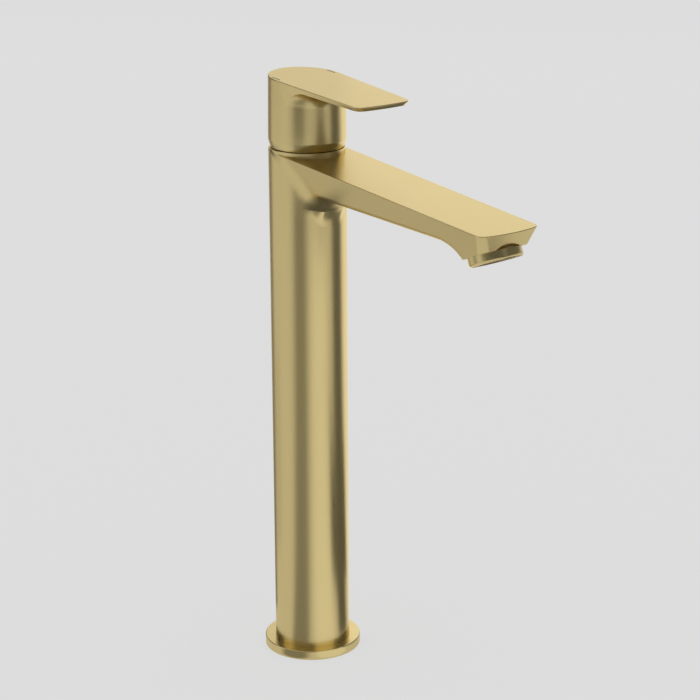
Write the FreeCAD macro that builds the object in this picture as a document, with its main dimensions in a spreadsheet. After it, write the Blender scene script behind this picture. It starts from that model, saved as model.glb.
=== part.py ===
"""Tall single-lever basin mixer: column, sloping spout, lever handle and the valve parts inside.

The origin is the centre of the foot's underside, +Z is up, and the spout and lever point to -Y.
Lengths are millimetres and angles are degrees.
"""
import FreeCAD
import Part
import Sketcher
import math
import os
from types import SimpleNamespace

SIZES = {
    # Clearances between pieces
    "seat_gap": 0.05,
    "film_gap": 0.03,
    "pin_gap": 0.04,
    "slide_gap": 0.2,
    "swing_gap": 0.3,
    "seam_inset": 0.03,
    # Foot
    "flange_radius": 27.0,
    "flange_height": 5.0,
    "flange_edge": 0.5,
    "flange_lip": 2.0,
    "flange_bore_radius": 17.0,
    "gasket_inner_radius": 21.6,
    "gasket_width": 3.6,
    "gasket_height": 1.5,
    # Column
    "column_radius": 21.0,
    "column_wall": 2.5,
    "body_height": 287.5,
    "top_slope": 5.0,
    "edge_round": 0.4,
    "seat_ring_land": 0.5,
    "seat_ring_drop": 8.8,
    "seat_ring_edge": 0.3,
    # Spout
    "spout_reach": 163.9,
    "spout_tip_half_width": 19.55,
    "spout_tip_draft": 24.0,
    "spout_front_radius": 78.0,
    "spout_front_draft": 20.0,
    "spout_corner_radius": 5.0,
    "spout_root_draft": 21.0,
    "spout_root_depth": 20.3,
    "spout_tip_depth": 10.8,
    "spout_root_fillet": 17.0,
    "spout_under_round": 5.0,
    "channel_radius": 3.2,
    "channel_start": 30.0,
    "channel_slope": 4.0,
    "riser_radius": 2.6,
    "riser_angle": 40.0,
    # Outlet under the spout's tip
    "outlet_setback": 13.5,
    "outlet_depth": 13.4,
    "outlet_tilt": 22.0,
    "boss_radius": 15.4,
    "boss_fillet": 16.0,
    "aerator_bore_radius": 12.0,
    "throat_radius": 8.5,
    "throat_height": 3.8,
    "collar_radius": 13.6,
    "collar_height": 5.0,
    "collar_edge": 1.4,
    "sleeve_height": 5.4,
    "sleeve_wall": 1.5,
    "outlet_lip_width": 1.1,
    "outlet_lip_height": 1.0,
    "insert_height": 5.0,
    "insert_hole_radius": 0.7,
    "insert_pitch": 2.1,
    "screen_height": 0.5,
    "regulator_height": 3.0,
    "regulator_hole_radius": 1.2,
    "regulator_hole_circle": 6.5,
    "washer_height": 0.8,
    "washer_width": 3.0,
    # Water inlets in the column's foot
    "port_offset": 6.5,
    "port_radius": 3.0,
    "block_height": 24.0,
    "hose_thread_radius": 4.46,
    "hose_thread_depth": 11.0,
    "stud_thread_radius": 3.32,
    "stud_thread_depth": 14.0,
    "stud_offset": 10.5,
    "tube_wall": 1.0,
    "socket_depth": 6.0,
    "tube_seal_radius": 0.75,
    # Cartridge
    "web_height": 10.0,
    "chamber_radius": 18.2,
    "housing_radius": 17.3,
    "housing_wall": 1.7,
    "housing_roof": 3.4,
    "housing_height": 25.4,
    "window_width": 8.0,
    "window_height": 7.0,
    "window_rise": 6.0,
    "base_height": 4.5,
    "spigot_height": 1.5,
    "port_seal_radius": 0.75,
    "port_seal_inset": 0.3,
    "peg_radius": 1.5,
    "peg_height": 3.0,
    "peg_offset": 12.5,
    "o_ring_radius": 0.85,
    "o_ring_drop": 2.4,
    "nut_height": 4.5,
    "nut_thread_gap": 0.1,
    "nut_notch_width": 4.0,
    "nut_notch_depth": 2.0,
    "neck_radius": 11.8,
    "neck_wall": 2.3,
    "neck_rise": 3.2,
    "limit_ring_height": 2.0,
    "fixed_disc_height": 4.0,
    "fixed_disc_margin": 0.8,
    "moving_disc_height": 3.5,
    "moving_disc_radius": 10.8,
    "disc_slot_length": 17.0,
    "disc_slot_width": 4.0,
    "disc_slot_offset": 3.2,
    "carrier_height": 4.0,
    "fork_wall": 1.4,
    "fork_width": 6.2,
    "guide_flange_radius": 12.5,
    "guide_rise": 3.5,
    "guide_slot_end": 1.9,
    # Lever mechanism
    "pivot_rise": 10.3,
    "lift_range": 25.0,
    "pin_radius": 1.6,
    "pin_inset": 0.8,
    "spindle_width": 6.0,
    "spindle_depth": 7.0,
    "spindle_rise": 18.2,
    "spindle_boss_radius": 4.2,
    "tail_radius": 2.2,
    "tail_length": 14.0,
    "ball_radius": 2.6,
    "ball_gap": 0.15,
    "ball_floor_gap": 0.75,
    "fork_rise": 1.5,
    # Dome under the handle's skirt
    "dome_wall": 1.0,
    "dome_hub_wall": 0.85,
    "dome_hub_height": 2.34,
    "dome_rise_angle": 5.0,
    # Handle
    "handle_radius": 21.0,
    "handle_taper": 0.4,
    "lip_swell": 0.4,
    "skirt_wall": 0.9,
    "lip_drop": 8.4,
    "skirt_upper_wall": 2.4,
    "skirt_bore_height": 5.0,
    "skirt_taper_height": 3.0,
    "handle_height": 28.95,
    "lever_reach": 66.8,
    "lever_tip_half_width": 18.1,
    "lever_tip_draft": 42.0,
    "lever_front_radius": 138.0,
    "lever_front_draft": 35.0,
    "lever_corner_radius": 5.5,
    "lever_root_depth": 2.8,
    "lever_tip_depth": 2.4,
    "lever_root_fillet": 9.0,
    "handle_roof": 3.0,
    "grip_radius": 6.2,
    "grip_rise": 11.7,
    "screw_radius": 2.4,
    "screw_length": 5.0,
    "screw_rise": 14.7,
    "cap_radius": 3.0,
    "cap_length": 2.4,
    "mark_length": 7.0,
    "mark_width": 0.9,
    "mark_depth": 0.4,
    "mark_offset": 18.2,
    "mark_shift": 2.5,
}

X_AXIS = FreeCAD.Vector(1, 0, 0)
Y_AXIS = FreeCAD.Vector(0, 1, 0)
Z_AXIS = FreeCAD.Vector(0, 0, 1)
FLAT = FreeCAD.Rotation()
SEAM_TURN = 90
FACING_X = FreeCAD.Rotation(Y_AXIS, Z_AXIS, X_AXIS, "XYZ")
FACING_Y = FreeCAD.Rotation(X_AXIS, Z_AXIS, -Y_AXIS, "XYZ")


class Size:
    """A number together with the sheet formula that it comes from."""

    def __init__(self, value, text):
        self.value = float(value)
        self.text = text

    def __add__(self, other):
        other = as_size(other)
        return Size(self.value + other.value, f"({self.text} + {other.text})")

    def __sub__(self, other):
        other = as_size(other)
        return Size(self.value - other.value, f"({self.text} - {other.text})")

    def __mul__(self, other):
        other = as_size(other)
        return Size(self.value * other.value, f"({self.text} * {other.text})")

    def __truediv__(self, other):
        other = as_size(other)
        return Size(self.value / other.value, f"({self.text} / {other.text})")

    def __neg__(self):
        return Size(-self.value, f"(0 - {self.text})")

    def __radd__(self, other):
        return as_size(other) + self

    def __rsub__(self, other):
        return as_size(other) - self

    def __rmul__(self, other):
        return as_size(other) * self


def as_size(number):
    """Give a plain number as a Size."""
    if isinstance(number, Size):
        return number
    return Size(number, repr(float(number)))


def sine(angle):
    """Sine of an angle in degrees."""
    return Size(math.sin(math.radians(angle.value)), f"sin({angle.text})")


def cosine(angle):
    """Cosine of an angle in degrees."""
    return Size(math.cos(math.radians(angle.value)), f"cos({angle.text})")


def tangent(angle):
    """Tangent of an angle in degrees."""
    return Size(math.tan(math.radians(angle.value)), f"tan({angle.text})")


def leg(long_side, other_side):
    """Third side of a right triangle, from its longest side and one other."""
    value = math.sqrt(long_side.value ** 2 - other_side.value ** 2)
    return Size(value, f"sqrt({long_side.text} ^ 2 - {other_side.text} ^ 2)")


doc = FreeCAD.newDocument("basin_mixer")
sheet = doc.addObject("Spreadsheet::Sheet", "Sheet")
for row, (alias, number) in enumerate(SIZES.items(), start=1):
    sheet.set(f"A{row}", alias)
    sheet.set(f"B{row}", str(number))
    sheet.setAlias(f"B{row}", alias)
doc.recompute()
size = SimpleNamespace(**{alias: Size(number, f"Sheet.{alias}") for alias, number in SIZES.items()})


def bind(thing, **properties):
    """Tie properties of an object to sizes."""
    for name, value in properties.items():
        thing.setExpression(name, as_size(value).text)


def place(thing, x=0, y=0, z=0, axis=X_AXIS, angle=0, turn=FLAT):
    """Put an object at a point, turned by an angle about an axis after a fixed turn."""
    point = [as_size(part) for part in (x, y, z)]
    angle = as_size(angle)
    tilt = FreeCAD.Rotation(axis, angle.value)
    base = FreeCAD.Vector(*[part.value for part in point])
    thing.Placement = FreeCAD.Placement(base, tilt.multiply(turn))
    for letter, part in zip("xyz", point):
        thing.setExpression(f"Placement.Base.{letter}", part.text)
    if angle.value and turn.isSame(FLAT, 1e-9):
        thing.setExpression("Placement.Rotation.Angle", angle.text)
    return thing


def arc_between(start, end, radius, side):
    """Arc of a circle from start to end, with its centre on the left (side 1) or the right (side -1)."""
    chord = end - start
    middle = (start + end) * 0.5
    left = FreeCAD.Vector(-chord.y, chord.x, 0).normalize()
    centre = middle + left * side * math.sqrt(radius ** 2 - (chord.Length / 2) ** 2)
    first, last = (start, end) if side > 0 else (end, start)
    angles = [math.atan2(point.y - centre.y, point.x - centre.x) for point in (first, last)]
    if angles[1] < angles[0]:
        angles[1] += 2 * math.pi
    return Part.ArcOfCircle(Part.Circle(centre, Z_AXIS, radius), *angles)


def draw(sketch, outline):
    """Draw a closed outline of (x, y) corners; (x, y, radius, side) is reached by an arc."""
    corners = [[as_size(part) for part in corner[:2]] for corner in outline]
    points = [FreeCAD.Vector(x.value, y.value, 0) for x, y in corners]
    ends = []
    for number, corner in enumerate(outline):
        start = points[number - 1]
        end = points[number]
        if len(corner) == 2:
            edge = sketch.addGeometry(Part.LineSegment(start, end))
            ends.append((edge, 1, 2))
            continue
        radius = as_size(corner[2])
        side = corner[3]
        edge = sketch.addGeometry(arc_between(start, end, radius.value, side))
        ends.append((edge, 1, 2) if side > 0 else (edge, 2, 1))
        limit = sketch.addConstraint(Sketcher.Constraint("Radius", edge, radius.value))
        sketch.setExpression(f"Constraints[{limit}]", radius.text)
    for number, (edge, _, last) in enumerate(ends):
        following, first, _ = ends[(number + 1) % len(ends)]
        sketch.addConstraint(Sketcher.Constraint("Coincident", edge, last, following, first))
        for kind, part in zip(("DistanceX", "DistanceY"), corners[number]):
            limit = sketch.addConstraint(Sketcher.Constraint(kind, -1, 1, edge, last, part.value))
            sketch.setExpression(f"Constraints[{limit}]", part.text)


def origin_plane(body, role):
    """One of a body's own origin planes."""
    return next(plane for plane in body.Origin.OriginFeatures if plane.Role == role)


def body_sketch(body, name, role, outline):
    """A closed sketch on one of a body's origin planes."""
    sketch = body.newObject("Sketcher::SketchObject", name)
    sketch.AttachmentSupport = [(origin_plane(body, role), "")]
    sketch.MapMode = "FlatFace"
    draw(sketch, outline)
    return sketch


def revolved(name, outline):
    """A body turned about its own Z axis from an outline of radius and height."""
    body = doc.addObject("PartDesign::Body", name)
    sketch = body_sketch(body, f"{name}_profile", "XZ_Plane", outline)
    turned = body.newObject("PartDesign::Revolution", f"{name}_turn")
    turned.Profile = sketch
    turned.ReferenceAxis = (sketch, ["V_Axis"])
    turned.Angle = 360.0
    body.Tip = turned
    return body


def ring_of_holes(body, name, radius, circle, count, depth):
    """Drill holes on a circle, evenly spaced, down into a revolved body from its own XY plane."""
    sketch = body.newObject("Sketcher::SketchObject", f"{name}_sketch")
    sketch.AttachmentSupport = [(origin_plane(body, "XY_Plane"), "")]
    sketch.MapMode = "FlatFace"
    spot = sketch.addGeometry(Part.Circle(FreeCAD.Vector(circle.value, 0, 0), Z_AXIS, radius.value))
    limits = (
        (Sketcher.Constraint("Radius", spot, radius.value), radius),
        (Sketcher.Constraint("DistanceX", -1, 1, spot, 3, circle.value), circle),
        (Sketcher.Constraint("DistanceY", -1, 1, spot, 3, 0.0), as_size(0)),
    )
    for rule, value in limits:
        limit = sketch.addConstraint(rule)
        sketch.setExpression(f"Constraints[{limit}]", value.text)
    hole = body.newObject("PartDesign::Pocket", f"{name}_hole")
    hole.Profile = sketch
    hole.Reversed = True
    bind(hole, Length=depth)
    body.Tip = hole
    doc.recompute()
    pattern = body.newObject("PartDesign::PolarPattern", f"{name}_pattern")
    pattern.Originals = [hole]
    pattern.Axis = (sketch, ["N_Axis"])
    pattern.Angle = 360.0
    pattern.Occurrences = count
    body.Tip = pattern


def cylinder(name, radius, height, **spot):
    """A round bar that rises from its spot."""
    bar = doc.addObject("Part::Cylinder", name)
    bind(bar, Radius=radius, Height=height)
    return place(bar, **spot)


def bar_along_x(name, radius, half_length, **spot):
    """A round bar that lies along X, centred on its spot."""
    bar = doc.addObject("Part::Cylinder", name)
    bind(bar, Radius=radius, Height=half_length * 2)
    return place(bar, x=-half_length, turn=FreeCAD.Rotation(Y_AXIS, 90), **spot)


def bar_along_y(name, radius, length, **spot):
    """A round bar that runs to +Y from its spot."""
    bar = doc.addObject("Part::Cylinder", name)
    bind(bar, Radius=radius, Height=length)
    return place(bar, turn=FreeCAD.Rotation(X_AXIS, -90), **spot)


def block(name, length, width, height, y=0, z=0):
    """A box centred on x = 0 and on its y, that rises from its z."""
    box = doc.addObject("Part::Box", name)
    bind(box, Length=length, Width=width, Height=height)
    return place(box, x=-length / 2, y=y - width / 2, z=z)


def ball(name, radius, y=0, z=0):
    """A full sphere."""
    sphere = doc.addObject("Part::Sphere", name)
    bind(sphere, Radius=radius)
    return place(sphere, y=y, z=z)


def seal_ring(name, radius, thickness, x, z):
    """An O-ring lying flat."""
    ring = doc.addObject("Part::Torus", name)
    bind(ring, Radius1=radius, Radius2=thickness)
    return place(ring, x=x, z=z)


def free_sketch(name, outline, turn, x=0, y=0, z=0):
    """A closed sketch that stands by itself in the document."""
    sketch = doc.addObject("Sketcher::SketchObject", name)
    place(sketch, x=x, y=y, z=z, turn=turn)
    draw(sketch, outline)
    return sketch


def slab(name, outline, half_width):
    """A plate cut to an outline of y and z, spread evenly to both sides of x = 0."""
    sketch = free_sketch(f"{name}_outline", outline, FACING_X)
    plate = doc.addObject("Part::Extrusion", name)
    plate.Base = sketch
    plate.DirMode = "Custom"
    plate.Dir = X_AXIS
    plate.Solid = True
    plate.Symmetric = True
    bind(plate, LengthFwd=half_width * 2)
    return plate


def fused(name, *pieces):
    """Join solids into one."""
    whole = doc.addObject("Part::MultiFuse", name)
    whole.Shapes = pieces
    whole.Refine = True
    return whole


def cut(name, base, *tools):
    """Take tools away from a solid."""
    result = doc.addObject("Part::Cut", name)
    result.Base = base
    result.Tool = tools[0] if len(tools) == 1 else fused(f"{name}_tools", *tools)
    result.Refine = True
    return result


def common(name, first, second):
    """Keep what two solids share."""
    result = doc.addObject("Part::Common", name)
    result.Base = first
    result.Tool = second
    result.Refine = True
    return result


def rounded(name, base, radius, chosen):
    """Round the edges of a solid that a test chooses."""
    doc.recompute()
    result = doc.addObject("Part::Fillet", name)
    result.Base = base
    picks = [number for number, edge in enumerate(base.Shape.Edges, start=1) if chosen(edge)]
    if not picks:
        raise RuntimeError(f"{name} has no edge to round")
    result.Edges = [(number, radius.value, radius.value) for number in picks]
    return result


def group(name, pieces):
    """Several like pieces in one node."""
    whole = doc.addObject("Part::Compound", name)
    whole.Links = pieces
    return whole


# Heights, radii and slopes that several pieces share
top_rise = tangent(size.top_slope)
spout_rise = top_rise + (size.spout_tip_depth - size.spout_root_depth) / size.spout_reach
lever_rise = top_rise + (size.lever_tip_depth - size.lever_root_depth) / size.lever_reach
pivot_height = size.body_height + size.pivot_rise
lever_height = pivot_height + size.handle_height
lip_height = pivot_height - size.lip_drop
outlet_reach = size.spout_reach - size.outlet_setback
spout_floor = size.body_height - size.spout_root_depth
lever_floor = lever_height - size.lever_root_depth
spout_tip_height = size.body_height - top_rise * size.spout_reach
outlet_height = size.body_height - top_rise * outlet_reach - size.outlet_depth
column_bore = size.column_radius - size.column_wall
skirt_inner = size.handle_radius - size.skirt_wall
dome_radius = skirt_inner - size.swing_gap
lip_ball_radius = size.handle_radius + size.lip_swell
seat_radius = lip_ball_radius + size.swing_gap
seat_ring_radius = leg(seat_radius, size.seat_ring_drop) + size.seat_ring_land
hub_bore = size.neck_radius + size.slide_gap
hub_radius = hub_bore + size.dome_hub_wall
nut_top = pivot_height - leg(dome_radius, hub_radius) - size.dome_hub_height
housing_top = nut_top - size.nut_height
housing_bottom = housing_top - size.housing_height
chamber_floor = housing_bottom - size.base_height
web_bottom = chamber_floor - size.web_height
tube_radius = size.port_radius + size.tube_wall
tube_gland = tube_radius + (size.tube_seal_radius + size.seat_gap) * 2
port_gland = size.port_radius + size.port_seal_inset + (size.port_seal_radius + size.seat_gap) * 2
housing_bore = size.housing_radius - size.housing_wall
cavity_top = housing_top - size.housing_roof
neck_bore = size.neck_radius - size.neck_wall
disc_floor = housing_bottom + size.spigot_height
window_floor = disc_floor + size.fixed_disc_height + size.window_rise
neck_top = pivot_height + size.neck_rise
spindle_top = pivot_height + size.spindle_rise
screw_height = pivot_height + size.screw_rise
moving_floor = disc_floor + size.fixed_disc_height + size.film_gap
carrier_floor = moving_floor + size.moving_disc_height
carrier_top = carrier_floor + size.carrier_height
guide_bottom = carrier_top + size.swing_gap
guide_flange_top = cavity_top - size.swing_gap
guide_radius = neck_bore - size.seat_gap
guide_top = neck_top + size.guide_rise
tail_lean = size.lift_range / 2
ball_shift = size.tail_length * sine(tail_lean)
ball_height = pivot_height - size.tail_length * cosine(tail_lean)
sleeve_radius = size.aerator_bore_radius - size.seat_gap
aerator_inner = sleeve_radius - size.sleeve_wall
aerator_floor = size.outlet_lip_height - size.collar_height
lower_seal_height = size.block_height - size.socket_depth / 2
upper_seal_height = web_bottom + size.socket_depth / 2
o_ring_circle = size.chamber_radius - size.seat_gap - size.o_ring_radius
o_ring_height = housing_top - size.o_ring_drop


def at_outlet(thing, rise=0):
    """Put a piece into the outlet's own frame, whose Z axis leans back up into the spout."""
    rise = as_size(rise)
    return place(thing, y=sine(size.outlet_tilt) * rise - outlet_reach,
                 z=outlet_height + cosine(size.outlet_tilt) * rise, axis=-X_AXIS, angle=size.outlet_tilt)


def section(name, half_width, lean, height, depth, headroom, y=0):
    """Cross section of a tongue, wider above its top face and narrower below it by the lean of its sides."""
    above = depth * headroom
    wide = half_width + lean * above
    narrow = half_width - lean * depth
    return free_sketch(name, [
        (wide, height + above),
        (-wide, height + above),
        (-narrow, height - depth),
        (narrow, height - depth),
    ], FACING_Y, y=y)


def tongue_envelope(name, root_widths, root_height, reach, tip_half_width, draft, depth,
                    front_radius, front_draft, corner_radius):
    """Outer form of a flat tongue: sloping top, sides that lean in towards the tip, bowed front."""
    overrun = 1.05
    shallower = 0.75
    headroom = 0.25
    over = reach * overrun
    upper, lower = root_widths
    lean = (upper - lower) / depth
    wide = upper + (tip_half_width - upper) * overrun
    root = section(f"{name}_root", upper, lean, root_height, depth, headroom)
    tip = section(f"{name}_tip", wide, tangent(draft), root_height - top_rise * over, depth * shallower,
                  headroom, y=-over)
    sides = doc.addObject("Part::Loft", f"{name}_sides")
    sides.Sections = [root, tip]
    sides.Ruled = True
    sides.Solid = True
    span = upper + tip_half_width
    bow = front_radius - leg(front_radius, span)
    tip_height = root_height - top_rise * reach
    front = free_sketch(f"{name}_front_outline", [
        (span, -reach / 2),
        (-span, -reach / 2),
        (-span, bow - reach),
        (span, bow - reach, front_radius, 1),
    ], FLAT, z=tip_height)
    nose = doc.addObject("Part::Extrusion", f"{name}_nose")
    nose.Base = front
    nose.DirMode = "Custom"
    nose.Dir = FreeCAD.Vector(0, -sine(front_draft).value, cosine(front_draft).value)
    nose.Solid = True
    bind(nose, LengthFwd=reach, LengthRev=reach)
    middle = block(f"{name}_middle", span * 2, reach, reach * 2, y=-reach / 4, z=tip_height - reach)
    blank = common(f"{name}_blank", sides, fused(f"{name}_limits", nose, middle))

    def is_corner(edge):
        box = edge.BoundBox
        return box.YMax < -reach.value * shallower and box.ZLength > edge.Length / 2
    return rounded(f"{name}_envelope", blank, corner_radius, is_corner)


def loop_round(radius, height):
    """A test for the closed edge where a bar passes through the underside of a slab."""
    def is_loop(edge):
        box = edge.BoundBox
        level = abs((box.ZMin + box.ZMax) / 2 - height.value) < radius.value / 4
        return edge.isClosed() and level and abs(box.XMax - radius.value) < radius.value / 20
    return is_loop


def on_slope(height):
    """A test for the edges that lie in a sloping top face."""
    def is_on(edge):
        points = edge.discretize(5)
        return all(abs(point.z - height.value - top_rise.value * point.y) < 1e-4 for point in points)
    return is_on


def above_slope(name, height, reach):
    """Everything over a sloping top face, as a tool."""
    far = reach * 1.5
    return slab(name, [
        (-far, height - top_rise * far),
        (far, height + top_rise * far),
        (far, height + reach),
        (-far, height + reach),
    ], far)


def make_spout():
    """The spout alone: a tapered blade with a round boss blended into its underside near the tip."""
    width = size.column_radius - size.seam_inset
    reserve = size.spout_root_fillet
    depth = size.spout_root_depth + reserve
    envelope = tongue_envelope(
        "spout", (width, width - tangent(size.spout_root_draft) * depth), size.body_height, size.spout_reach,
        size.spout_tip_half_width, size.spout_tip_draft, depth, size.spout_front_radius,
        size.spout_front_draft, size.spout_corner_radius)
    ahead = size.spout_reach * 1.5
    behind = size.column_radius + reserve
    roof = size.body_height + size.spout_root_depth
    blade = slab("spout_blade", [
        (-ahead, spout_floor - spout_rise * ahead),
        (behind, spout_floor + spout_rise * behind),
        (behind, roof),
        (-ahead, roof),
    ], behind)
    drop = size.boss_radius * 3
    boss = cylinder("outlet_boss", size.boss_radius, drop + size.boss_radius)
    at_outlet(boss, -drop)
    rough = fused("spout_rough", blade, boss)
    level = spout_floor - spout_rise * outlet_reach
    blended = rounded("spout_blended", rough, size.boss_fillet, loop_round(size.boss_radius, level))
    shaped = common("spout_shaped", blended, envelope)
    below = cylinder("outlet_below", drop, drop)
    at_outlet(below, -drop)
    return cut("spout_trimmed", shaped, below)


def is_under_edge(edge):
    """A test for the long edges between the spout's underside and its sides."""
    points = edge.discretize(5)
    level = all(abs(point.z - spout_floor.value - spout_rise.value * point.y) < 1e-3 for point in points)
    return level and edge.BoundBox.YLength > size.spout_reach.value / 2


def is_spout_root(edge):
    """A test for the edges where the spout's sides and underside meet the column."""
    points = edge.discretize(9)
    on_column = all(abs(math.hypot(point.x, point.y) - size.column_radius.value) < 2e-3 for point in points)
    return on_column and edge.BoundBox.YMax < 0


def root_edge(radius_at, floor, rise):
    """A test for the edge where a tongue's underside meets the round body that carries it."""
    def is_root(edge):
        for point in edge.discretize(7):
            if abs(math.hypot(point.x, point.y) - radius_at(point.z)) > 1e-3:
                return False
            if abs(point.z - floor.value - rise.value * point.y) > 1e-3:
                return False
        return True
    return is_root


def water_ways():
    """Passages inside the casting, from the two supply tubes to the outlet."""
    tools = []
    for name, side in (("hot", -1), ("cold", 1)):
        x = size.port_offset * side
        tools.append(cylinder(f"{name}_port", size.port_radius, size.web_height * 2, x=x, z=web_bottom))
        tools.append(cylinder(f"{name}_socket", tube_radius + size.seat_gap, size.socket_depth,
                              x=x, z=web_bottom))
        tools.append(cylinder(f"{name}_gland", tube_gland, (size.tube_seal_radius + size.seat_gap) * 2,
                              x=x, z=upper_seal_height - size.tube_seal_radius - size.seat_gap))
    middle_rise = (top_rise + spout_rise) / 2
    start_height = (size.body_height + spout_floor) / 2 - middle_rise * size.channel_start
    throat_top = size.sleeve_height + size.washer_height + size.throat_height
    run = outlet_reach - sine(size.outlet_tilt) * throat_top - size.channel_start
    tools.append(cylinder("spout_channel", size.channel_radius, run / cosine(size.channel_slope),
                          y=-size.channel_start, z=start_height, angle=size.channel_slope + 90))
    riser_run = (size.channel_start - size.chamber_radius) / cosine(size.riser_angle)
    tools.append(cylinder("spout_riser", size.riser_radius, riser_run + size.riser_radius * 2,
                          y=-size.channel_start, z=start_height, axis=-X_AXIS, angle=size.riser_angle + 90))
    shoulder = size.sleeve_height + size.washer_height
    outlet = revolved("outlet_bore", [
        (0, -size.collar_height),
        (size.aerator_bore_radius, -size.collar_height),
        (size.aerator_bore_radius, shoulder),
        (size.throat_radius, shoulder),
        (size.channel_radius, throat_top),
        (0, throat_top),
    ])
    tools.append(at_outlet(outlet))
    return tools


def seat_ring():
    """Low ring on the casting's sloping top, round the handle's lip."""
    top = pivot_height - size.seat_ring_drop
    foot = size.body_height - top_rise * seat_ring_radius * 2
    ring = revolved("seat_ring", [
        (0, foot),
        (seat_ring_radius, foot),
        (seat_ring_radius, top - size.seat_ring_edge),
        (seat_ring_radius - size.seat_ring_edge, top, size.seat_ring_edge, 1),
        (0, top),
    ])
    return place(ring, axis=Z_AXIS, angle=SEAM_TURN)


def make_body_casting():
    """Column and spout in one casting, hollow, with the cartridge chamber at its top."""
    column = cylinder("column_blank", size.column_radius, size.body_height + size.column_radius,
                      z=size.flange_lip, axis=Z_AXIS, angle=SEAM_TURN)
    joined = fused("body_joined", column, make_spout())
    topped = cut("body_topped", joined, above_slope("above_body", size.body_height, size.spout_reach))
    under = rounded("body_under", topped, size.spout_under_round, is_under_edge)
    blended = rounded("body_blended", under, size.spout_root_fillet, is_spout_root)
    eased = rounded("body_eased", blended, size.edge_round, on_slope(size.body_height))
    collared = fused("body_collared", eased, seat_ring())
    tools = [
        cylinder("column_hollow", column_bore, web_bottom),
        cylinder("cartridge_chamber", size.chamber_radius, size.body_height, z=chamber_floor),
        ball("handle_seat", seat_radius, z=pivot_height),
    ]
    for name, side in (("front", -1), ("rear", 1)):
        tools.append(cylinder(f"{name}_peg_hole", size.peg_radius + size.seat_gap,
                              size.peg_height + size.swing_gap, y=size.peg_offset * side,
                              z=chamber_floor - size.peg_height - size.swing_gap))
    return cut("body_casting", collared, *tools, *water_ways())


def make_base_flange():
    """Foot plate with a seat for the column and a groove for the gasket."""
    groove_inner = size.gasket_inner_radius - size.seat_gap
    groove_outer = size.gasket_inner_radius + size.gasket_width + size.seat_gap
    seat = size.column_radius + size.seat_gap
    return revolved("base_flange", [
        (size.flange_bore_radius, 0),
        (groove_inner, 0),
        (groove_inner, size.gasket_height),
        (groove_outer, size.gasket_height),
        (groove_outer, 0),
        (size.flange_radius, 0),
        (size.flange_radius, size.flange_height - size.flange_edge),
        (size.flange_radius - size.flange_edge, size.flange_height, size.flange_edge, 1),
        (seat, size.flange_height),
        (seat, size.flange_lip),
        (size.flange_bore_radius, size.flange_lip),
    ])


def washer(name, inner, outer, bottom, top):
    """A flat ring."""
    return revolved(name, [(inner, bottom), (outer, bottom), (outer, top), (inner, top)])


def make_base_gasket():
    """Seal in the foot plate's groove."""
    return washer("base_gasket", size.gasket_inner_radius, size.gasket_inner_radius + size.gasket_width,
                  as_size(0), size.gasket_height)


def make_inlet_block():
    """Plug in the column's foot, with hose threads, stud threads and sockets for the tubes."""
    spigot = cylinder("block_spigot", size.flange_bore_radius - size.seat_gap, size.block_height)
    wide = cylinder("block_wide", column_bore - size.seat_gap, size.block_height - size.flange_lip,
                    z=size.flange_lip)
    tools = []
    for name, side in (("hot", -1), ("cold", 1)):
        x = size.port_offset * side
        tools.append(cylinder(f"{name}_thread", size.hose_thread_radius, size.hose_thread_depth, x=x))
        tools.append(cylinder(f"{name}_passage", size.port_radius, size.block_height, x=x))
        tools.append(cylinder(f"{name}_foot_socket", tube_radius + size.seat_gap, size.socket_depth,
                              x=x, z=size.block_height - size.socket_depth))
        tools.append(cylinder(f"{name}_foot_gland", tube_gland, (size.tube_seal_radius + size.seat_gap) * 2,
                              x=x, z=lower_seal_height - size.tube_seal_radius - size.seat_gap))
    for name, side in (("front", -1), ("rear", 1)):
        tools.append(cylinder(f"{name}_stud_thread", size.stud_thread_radius, size.stud_thread_depth,
                              y=size.stud_offset * side))
    return cut("inlet_block", fused("block_blank", spigot, wide), *tools)


def make_supply_tube(name, side):
    """Riser from the inlet block to the casting's web."""
    bottom = size.block_height - size.socket_depth
    tube = washer(name, size.port_radius, tube_radius, bottom,
                  web_bottom + size.socket_depth - size.seat_gap)
    return place(tube, x=size.port_offset * side)


def make_tube_seals():
    """O-rings at both ends of both tubes."""
    radius = tube_radius + size.tube_seal_radius + size.seat_gap
    rings = []
    for name, side in (("hot", -1), ("cold", 1)):
        for end, height in (("lower", lower_seal_height), ("upper", upper_seal_height)):
            rings.append(seal_ring(f"{name}_{end}_seal", radius, size.tube_seal_radius,
                                   size.port_offset * side, height))
    return group("tube_seals", rings)


def make_cartridge_base():
    """Floor of the cartridge: two ports, seal glands on both faces and two locating pegs."""
    floor = cylinder("base_plate", size.housing_radius, size.base_height, z=chamber_floor)
    spigot = cylinder("base_spigot", housing_bore - size.seat_gap, size.base_height + size.spigot_height,
                      z=chamber_floor)
    pieces = [floor, spigot]
    for name, side in (("front", -1), ("rear", 1)):
        pieces.append(cylinder(f"{name}_peg", size.peg_radius, size.peg_height + size.base_height,
                               y=size.peg_offset * side, z=chamber_floor - size.peg_height))
    tools = []
    gland_height = size.port_seal_radius * 2 + size.seat_gap
    for name, side in (("hot", -1), ("cold", 1)):
        x = size.port_offset * side
        tools.append(cylinder(f"{name}_base_port", size.port_radius, size.base_height * 2,
                              x=x, z=chamber_floor))
        tools.append(cylinder(f"{name}_floor_gland", port_gland, gland_height, x=x, z=chamber_floor))
        tools.append(cylinder(f"{name}_disc_gland", port_gland, gland_height,
                              x=x, z=disc_floor - gland_height))
    return cut("cartridge_base", fused("base_blank", *pieces), *tools)


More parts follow.
